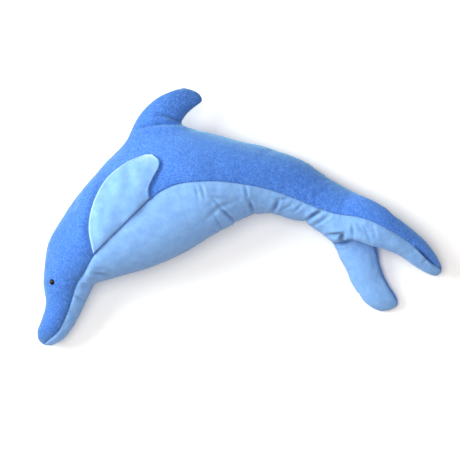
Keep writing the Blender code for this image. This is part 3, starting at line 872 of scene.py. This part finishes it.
def solids_shift():
    """How far the solids were moved to bring their box's centre over the origin.

    The flipper on the floor tells, because its outline is in the tables as it is.
    """
    columns, rows = SOLID_FLIPPER_CELLS
    outline = [flipper_spot(column / columns, row / rows)
               for column in range(columns + 1) for row in range(rows + 1)]
    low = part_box("flipper_right_outer")[0]
    return Vector((low[0] - MM * min(spot.x for spot in outline),
                   low[1] - MM * min(spot.y for spot in outline), 0))


def banded(spot, width, length, seed):
    """A smooth random height from -1 to 1, in bands of about this width and length."""
    return noise.noise(Vector((spot.x / width, spot.y / length, seed)))


def flipper_layer(name, underside, rise, sewn_in, material, shift):
    """A layer of a flipper: a grid laid on what carries it, with the cloth's thickness."""
    sheet = bmesh.new()
    painted_shading = sheet.verts.layers.float.new("painted_shading")
    columns, rows = FLIPPER_CELLS
    bmesh.ops.create_grid(sheet, x_segments=columns, y_segments=rows, size=0.5)
    for vert in sheet.verts:
        reach, across = vert.co.x + 0.5, vert.co.y + 0.5
        spot = flipper_spot(reach, across)
        width = (flipper_spot(reach, 0) - flipper_spot(reach, 1)).length
        edge = min(across, 1 - across) * width
        to_tip = (1 - reach) * FLIPPER_LENGTH
        sewn = SEWN_DROP * math.exp(-reach * FLIPPER_LENGTH / SEWN_REACH) if sewn_in else 0
        height = underside(spot.x, spot.y) + rise(min(edge, to_tip), spot) - sewn
        vert.co = (spot.x, spot.y, height)
        leading = min(across * width, 2 * to_tip)
        # Painted light: bands of light and shade for the folds, and a painted highlight at the tip
        # and along the leading edge
        bands = banded(spot, BANDS_WIDTH, BANDS_LENGTH, seed=9.1) - BANDS_MIDDLE
        painted_light = FLIPPER_LIGHT_BANDS * bands + TIP_HIGHLIGHT * math.exp(-to_tip / TIP_REACH)
        vert[painted_shading] = -painted_light - RIM_HIGHLIGHT * math.exp(-(leading / RIM_WIDTH) ** 2)
    skin = bmesh.ops.extrude_face_region(sheet, geom=sheet.faces[:], use_keep_orig=True)["geom"]
    bmesh.ops.translate(sheet, vec=(0, 0, FLIPPER_LAYER),
                        verts=[v for v in skin if isinstance(v, bmesh.types.BMVert)])
    bmesh.ops.recalc_face_normals(sheet, faces=sheet.faces)
    node = name.replace("_cloth", "")
    piece = finished(name, sheet, shift, material, node)
    return piece


def flippers(tree, material, shift):
    """The left flipper lies on the body, the right one is folded flat beneath it."""
    def on_body(x, y):
        spot, normal, _, _ = tree.ray_cast(Vector((x, y, FAR_OFF)), Vector((0, 0, -1)))
        return spot.z + FLIPPER_LIFT / max(normal.z, FLIPPER_STEEPEST)

    def on_floor(x, y):
        return 0

    def flat(edge, spot):
        return 0

    def puffed(edge, spot):
        bead = BEAD_HEIGHT * math.exp(-((edge - BEAD_PLACE) / BEAD_WIDTH) ** 2)
        body = FLIPPER_PUFF * (1 - math.exp(-max(edge - PUFF_START, 0) / PUFF_REACH))
        folds = FLIPPER_FOLDS * banded(spot, FOLDS_WIDTH, FOLDS_LENGTH, seed=4.2)
        return bead + body + folds * min(edge / FOLDS_START, 1)

    step = FLIPPER_LAYER + FLIPPER_GAP
    flipper_layer("flipper_left_inner_cloth", on_body, flat, True, material, shift)
    flipper_layer("flipper_left_outer_cloth", lambda x, y: on_body(x, y) + step, puffed,
                  True, material, shift)
    flipper_layer("flipper_right_outer_cloth", on_floor, flat, False, material, shift)
    flipper_layer("flipper_right_inner_cloth", lambda x, y: step, flat, False, material, shift)


def eye(side, name, tree, material, shift):
    """A domed head with a rounded rim on its shank, turned in one piece."""
    spot, normal = eye_spot(tree, side)
    bm = bmesh.new()
    angles = [math.pi / 2 * step / DOME_STEPS for step in range(DOME_STEPS + 1)]
    dome = [(EYE_RADIUS * math.sin(angle), EYE_HEIGHT * math.cos(angle) + EYE_RISE)
            for angle in angles]
    low = EYE_RISE - EYE_RIM
    profile = dome + [(EYE_RADIUS - EYE_TUCK, low), (SHANK_RADIUS, low),
                      (SHANK_RADIUS, -SHANK_LENGTH), (0, -SHANK_LENGTH)]
    points = [bm.verts.new((radius, 0, height)) for radius, height in profile]
    edges = [bm.edges.new(pair) for pair in zip(points, points[1:])]
    bmesh.ops.spin(bm, geom=points + edges, cent=(0, 0, 0), axis=(0, 0, 1),
                   angle=2 * math.pi, steps=EYE_STEPS, use_merge=True)
    bmesh.ops.remove_doubles(bm, verts=bm.verts, dist=MERGE)
    bmesh.ops.recalc_face_normals(bm, faces=bm.faces)
    turn = normal.to_track_quat("Z", "X").to_matrix().to_4x4()
    bmesh.ops.transform(bm, matrix=Matrix.Translation(spot) @ turn, verts=bm.verts)
    return finished(name + "_gloss", bm, shift, material, name)


def linear(srgb):
    """A colour from 0 to 255 as linear light."""
    shares = [c / 255 for c in srgb]
    return [s / 12.92 if s <= 0.04045 else ((s + 0.055) / 1.055) ** 2.4 for s in shares] + [1]


def shaded(name, roughness):
    """A new material, its nodes and its shader."""
    made = bpy.data.materials.new(name)
    made.use_nodes = True
    shader = made.node_tree.nodes["Principled BSDF"]
    shader.inputs["Roughness"].default_value = roughness
    shader.inputs["Metallic"].default_value = 0
    return made, made.node_tree, shader


def noise_node(tree, coords, size, detail=3, roughness=0.55, distortion=0.0):
    """A random pattern with marks of about this size in millimetres."""
    made = tree.nodes.new("ShaderNodeTexNoise")
    made.inputs["Scale"].default_value = 1 / (size * MM)
    made.inputs["Detail"].default_value = detail
    made.inputs["Roughness"].default_value = roughness
    made.inputs["Distortion"].default_value = distortion
    tree.links.new(coords, made.inputs["Vector"])
    return made.outputs["Fac"]


def maths(tree, operation, first, second):
    """A sum with two values, each a number or what another node gives."""
    made = tree.nodes.new("ShaderNodeMath")
    made.operation = operation
    for socket, value in zip(made.inputs, (first, second)):
        if isinstance(value, (int, float)):
            socket.default_value = value
        else:
            tree.links.new(value, socket)
    return made.outputs[0]


def blended(tree, *parts):
    """Patterns added up, each with its share."""
    total, *others = [maths(tree, "MULTIPLY", part, share) for part, share in parts]
    for other in others:
        total = maths(tree, "ADD", total, other)
    return total


def shaded_colour(tree, colour):
    """The colour with painted shading: darker with painted shade where it is above 0, paler with
    painted highlight where it is below.
    """
    painted_shading = tree.nodes.new("ShaderNodeAttribute")
    painted_shading.attribute_name = "painted_shading"
    made = tree.nodes.new("ShaderNodeHueSaturation")
    dark = maths(tree, "MAXIMUM", painted_shading.outputs["Fac"], 0)
    painted_light = maths(tree, "MINIMUM", painted_shading.outputs["Fac"], 0)
    tree.links.new(maths(tree, "SUBTRACT", 1, dark), made.inputs["Value"])
    tree.links.new(maths(tree, "ADD", 1, maths(tree, "MULTIPLY", painted_light, PALE_RATE)),
                   made.inputs["Saturation"])
    tree.links.new(maths(tree, "ADD", 0.5, maths(tree, "MULTIPLY", painted_light, PALE_HUE)),
                   made.inputs["Hue"])
    tree.links.new(colour, made.inputs["Color"])
    return made.outputs["Color"]


def ramp(tree, fac, stops):
    """Colours laid along a pattern."""
    made = tree.nodes.new("ShaderNodeValToRGB")
    tree.links.new(fac, made.inputs["Fac"])
    elements = made.color_ramp.elements
    while len(elements) < len(stops):
        elements.new(0.5)
    for element, (place, colour) in zip(elements, stops):
        element.position = place
        element.color = linear(colour)
    return made.outputs["Color"]


def bump(tree, shader, height, distance, strength):
    """A pattern as fine relief, this many millimetres high."""
    made = tree.nodes.new("ShaderNodeBump")
    made.inputs["Distance"].default_value = distance * MM
    made.inputs["Strength"].default_value = strength
    tree.links.new(height, made.inputs["Height"])
    tree.links.new(made.outputs["Normal"], shader.inputs["Normal"])


def brushed_fleece():
    """Short brushed fibres: fine speckle, patches of nap and a pale bloom at the edges."""
    made, tree, shader = shaded("brushed blue fleece", 0.95)
    coords = tree.nodes.new("ShaderNodeTexCoord").outputs["Object"]
    speckle = noise_node(tree, coords, 2.0, 3, 0.7)
    nap = noise_node(tree, coords, 5.0, 2, 0.6, 0.4)
    broad = noise_node(tree, coords, 60, 2)
    mixed = blended(tree, (speckle, 0.72), (nap, 0.16), (broad, 0.12))
    colour = shaded_colour(tree, ramp(tree, mixed, FLEECE_COLOURS))
    tree.links.new(colour, shader.inputs["Base Color"])
    shader.inputs["Sheen Weight"].default_value = 1
    shader.inputs["Sheen Roughness"].default_value = 0.5
    shader.inputs["Sheen Tint"].default_value = linear(FLEECE_BLOOM)
    shader.inputs["Specular IOR Level"].default_value = 0.15
    bump(tree, shader, blended(tree, (speckle, 0.6), (nap, 0.4)), 1.0, 0.55)
    return made


def woven_cotton():
    """Plain weave in fine threads, with the slight unevenness of washed cotton."""
    made, tree, shader = shaded("light blue cotton", 0.85)
    coords = tree.nodes.new("ShaderNodeTexCoord").outputs["Object"]
    cloud = noise_node(tree, coords, 9, 3, 0.6)
    grain = noise_node(tree, coords, 1.2, 3, 0.6)
    mixed = blended(tree, (cloud, 0.55), (grain, 0.45))
    colour = shaded_colour(tree, ramp(tree, mixed, COTTON_COLOURS))
    tree.links.new(colour, shader.inputs["Base Color"])
    shader.inputs["Sheen Weight"].default_value = 0.25
    shader.inputs["Sheen Roughness"].default_value = 0.5
    shader.inputs["Specular IOR Level"].default_value = 0.2
    threads = []
    for direction in ("X", "Y"):
        wave = tree.nodes.new("ShaderNodeTexWave")
        wave.bands_direction = direction
        wave.inputs["Scale"].default_value = 1 / (WEAVE_SIZE * MM)
        wave.inputs["Distortion"].default_value = 0.6
        tree.links.new(coords, wave.inputs["Vector"])
        threads.append(wave.outputs["Fac"])
    weave = maths(tree, "MULTIPLY", threads[0], threads[1])
    bump(tree, shader, blended(tree, (weave, 0.3), (cloud, 0.9)), 0.8, 0.4)
    return made


def fibre_filling():
    """White fluffy fibres."""
    made, tree, shader = shaded("white fibre filling", 0.95)
    coords = tree.nodes.new("ShaderNodeTexCoord").outputs["Object"]
    fibres = noise_node(tree, coords, 3, 6, 0.75, 2.0)
    tree.links.new(ramp(tree, fibres, FIBRE_COLOURS), shader.inputs["Base Color"])
    bump(tree, shader, fibres, 2, 0.8)
    return made


def eye_gloss():
    """Very dark brown moulded plastic with a clear shine."""
    made, tree, shader = shaded("eye black", 0.12)
    coords = tree.nodes.new("ShaderNodeTexCoord").outputs["Object"]
    flecks = noise_node(tree, coords, 2.5, 2)
    tree.links.new(ramp(tree, flecks, EYE_COLOURS), shader.inputs["Base Color"])
    shader.inputs["Specular IOR Level"].default_value = 0.3
    shader.inputs["Coat Weight"].default_value = 0.1
    shader.inputs["Coat Roughness"].default_value = 0.05
    return made


def washer_plastic():
    """Off-white moulded plastic with a slight grain."""
    made, tree, shader = shaded("washer plastic", 0.5)
    coords = tree.nodes.new("ShaderNodeTexCoord").outputs["Object"]
    grain = noise_node(tree, coords, 0.8, 2)
    tree.links.new(ramp(tree, grain, WASHER_COLOURS), shader.inputs["Base Color"])
    bump(tree, shader, grain, 0.1, 0.3)
    return made


def seen_directly(tree):
    """1 for what the camera, a gloss or a clear surface sees, 0 for light on other things."""
    path = tree.nodes.new("ShaderNodeLightPath")
    seen = maths(tree, "MAXIMUM", path.outputs["Is Camera Ray"], path.outputs["Is Glossy Ray"])
    return maths(tree, "MAXIMUM", seen, path.outputs["Is Transmission Ray"])


def floor():
    """A pale floor that reads as white and keeps the shadow."""
    bm = bmesh.new()
    bmesh.ops.create_grid(bm, x_segments=1, y_segments=1, size=FLOOR_HALF)
    mesh = bpy.data.meshes.new("floor")
    bm.to_mesh(mesh)
    bm.free()
    made, tree, shader = shaded("floor", 0.9)
    shader.inputs["Specular IOR Level"].default_value = 0
    white = maths(tree, "MULTIPLY", seen_directly(tree), FLOOR_WHITER)
    tinted = tree.nodes.new("ShaderNodeVectorMath")
    tinted.operation = "SCALE"
    tinted.inputs[0].default_value = FLOOR_TINT
    tree.links.new(maths(tree, "ADD", white, FLOOR_GREY), tinted.inputs["Scale"])
    tree.links.new(tinted.outputs["Vector"], shader.inputs["Base Color"])
    mesh.materials.append(made)
    ground = linked("floor", mesh)
    ground.location.z = -FLOOR_DROP


def world():
    made = bpy.data.worlds.new("studio")
    made.use_nodes = True
    tree = made.node_tree
    tree.nodes["Background"].inputs["Color"].default_value = (1, 1, 1, 1)
    tree.nodes["Background"].inputs["Strength"].default_value = ROOM_LIGHT
    bpy.context.scene.world = made


def lamp(name, place, size, power):
    """A round lamp that shines on the dolphin."""
    data = bpy.data.lights.new(name, "AREA")
    data.shape = "DISK"
    data.size = size
    data.energy = power
    made = linked(name, data)
    made.location = place
    made.rotation_mode = "QUATERNION"
    made.rotation_quaternion = (Vector(LAMP_AIM) - Vector(place)).to_track_quat("-Z", "Y")
    return data


def camera():
    """A long lens high above, so that hardly anything leans outwards."""
    data = bpy.data.cameras.new("camera")
    data.sensor_width = SENSOR
    data.lens = SENSOR * (CAMERA_HEIGHT - VIEW_HEIGHT) / VIEW_WIDTH
    made = linked("camera", data)
    made.location = (VIEW_CENTRE[0] * MM, VIEW_CENTRE[1] * MM, CAMERA_HEIGHT * MM)
    bpy.context.scene.camera = made


def studio():
    """The camera, the floor and the light."""
    camera()
    world()
    floor()
    lamp("key", *KEY_LAMP)
    side = lamp("side", *SIDE_LAMP)
    side.color = SIDE_TINT
    bpy.context.scene.view_settings.view_transform = "Standard"


def main():
    studio()
    fleece = brushed_fleece()
    cotton = woven_cotton()
    fibre = fibre_filling()
    mesh = filled(rounded(body_cage(), FILLING_LEVEL))
    coarse = mesh.copy()
    form, painted_shadings = worked(finer(mesh, FINE_LEVELS))
    spots, facing = positions(form), normals(form)
    tree, rooms = room_inside(form, spots, facing)

    shift = solids_shift()
    cuts = (
        ("back_panel_left_cloth", LEFT, fleece, "fleece_blue", FLEECE_WALL),
        ("back_panel_right_cloth", RIGHT, fleece, "fleece_blue", FLEECE_WALL),
        ("belly_panel_cloth", LIGHT, cotton, "cotton_light_blue", COTTON_WALL),
    )
    for name, panel, material, slot, thickness in cuts:
        walls = -facing * np.minimum(thickness, WALL_ROOM * rooms)[:, None]
        piece = cloth_cut(name, form, walls, painted_shadings, panel, material, shift)
    stuffing(form, coarse, fibre, shift)
    flippers(tree, cotton, shift)
    gloss = eye_gloss()
    eye(1, "eye_left", tree, gloss, shift)
    eye(-1, "eye_right", tree, gloss, shift)
    plastic = washer_plastic()
    for node in ("eye_washer_left", "eye_washer_right"):
        made = bpy.data.objects[node]
        made.data.materials.clear()
        made.data.materials.append(plastic)


main()
